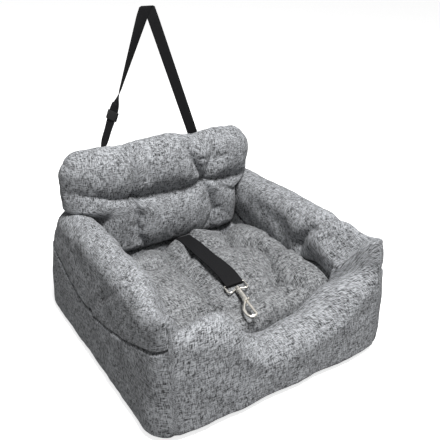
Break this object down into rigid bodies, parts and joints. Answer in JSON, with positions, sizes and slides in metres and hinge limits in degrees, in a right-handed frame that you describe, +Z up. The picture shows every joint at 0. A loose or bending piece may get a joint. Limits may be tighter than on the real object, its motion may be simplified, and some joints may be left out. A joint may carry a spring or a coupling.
{
  "type": "dog car seat",
  "caption": "Padded booster bed for a dog on a car seat: tufted cushion and folding backrest, stuffed walls with a low front, headrest strap, and a tether with a swivelling bolt snap.",
  "frame": {"origin": "middle of the underside panel, on the seat or floor that the part stands on", "axes": "+Z up, +Y towards the backrest, -Y towards the low front, +X to the right as seen from the front"},
  "size_m": [0.5514, 0.5169, 0.63],
  "materials": {
    "heather_linen": "coarse two-tone grey weave",
    "grip_fabric": "black cloth with grip dots",
    "base_foam": "stiff foam board",
    "fibre_filling": "white polyester fibre",
    "zip_tape": "dark woven tape with a nylon coil",
    "black_webbing": "black woven webbing",
    "nickel": "bright nickel plate",
    "spring_steel": "bright spring wire",
    "black_plastic": "satin black"
  },
  "bodies": {
    "base": {"underside_panel": "grip_fabric", "base_board": "base_foam", "front_bolster": "heather_linen", "left_side_wall": "heather_linen", "right_side_wall": "heather_linen", "left_roll": "heather_linen", "right_roll": "heather_linen", "rear_wall": "heather_linen", "seat_cushion_cover": "heather_linen", "seat_cushion_filling": "fibre_filling", "seat_cushion_zip": "zip_tape", "backrest_hinge_strip": "heather_linen", "tether_anchor_webbing": "black_webbing"},
    "backrest": {"backrest_cover": "heather_linen", "backrest_filling": "fibre_filling", "backrest_zip": "zip_tape", "headrest_strap": "black_webbing", "headrest_strap_tail": "black_webbing", "left_strap_patch": "heather_linen", "right_strap_patch": "heather_linen"},
    "keeper": {"strap_keeper": "black_plastic"},
    "backrest_slider": {"backrest_zip_slider": "nickel", "backrest_zip_pull": "nickel"},
    "cushion_slider": {"seat_cushion_zip_slider": "nickel", "seat_cushion_zip_pull": "nickel"},
    "tether": {"tether_webbing": "black_webbing", "snap_swivel_eye": "nickel"},
    "snap": {"snap_hook_body": "nickel", "snap_spring": "spring_steel"},
    "bolt": {"snap_bolt": "nickel"}
  },
  "joints": [
    {"name": "backrest_fold", "type": "hinge", "parent": "base", "child": "backrest", "pos_m": [0, 0.2405, 0.112], "axis": [-1, 0, 0], "range_deg": [0, 90], "deforming": ["backrest_hinge_strip"]},
    {"name": "keeper_slide", "type": "slide", "parent": "backrest", "child": "keeper", "axis": [0.3532, 0, 0.9355], "range_m": [-0.012, 0.012]},
    {"name": "backrest_zip_slide", "type": "slide", "parent": "backrest", "child": "backrest_slider", "axis": [-1, 0, 0], "range_m": [0, 0.234]},
    {"name": "cushion_zip_slide", "type": "slide", "parent": "base", "child": "cushion_slider", "axis": [-1, 0, 0], "range_m": [0, 0.256]},
    {"name": "tether_lift", "type": "hinge", "parent": "base", "child": "tether", "pos_m": [0.016, 0.1421, 0.13269], "axis": [-1, 0, 0], "range_deg": [0, 70]},
    {"name": "snap_swivel", "type": "hinge", "parent": "tether", "child": "snap", "pos_m": [-0.001, -0.0945, 0.13624], "axis": [0.1562, 0.9863, 0.0523], "range_deg": [0, 150]},
    {"name": "bolt_slide", "type": "slide", "parent": "snap", "child": "bolt", "axis": [0.1562, 0.9863, 0.0523], "range_m": [0, 0.008], "stiffness_N_per_m": 300, "springref_m": -0.004, "deforming": ["snap_spring"]}
  ]
}
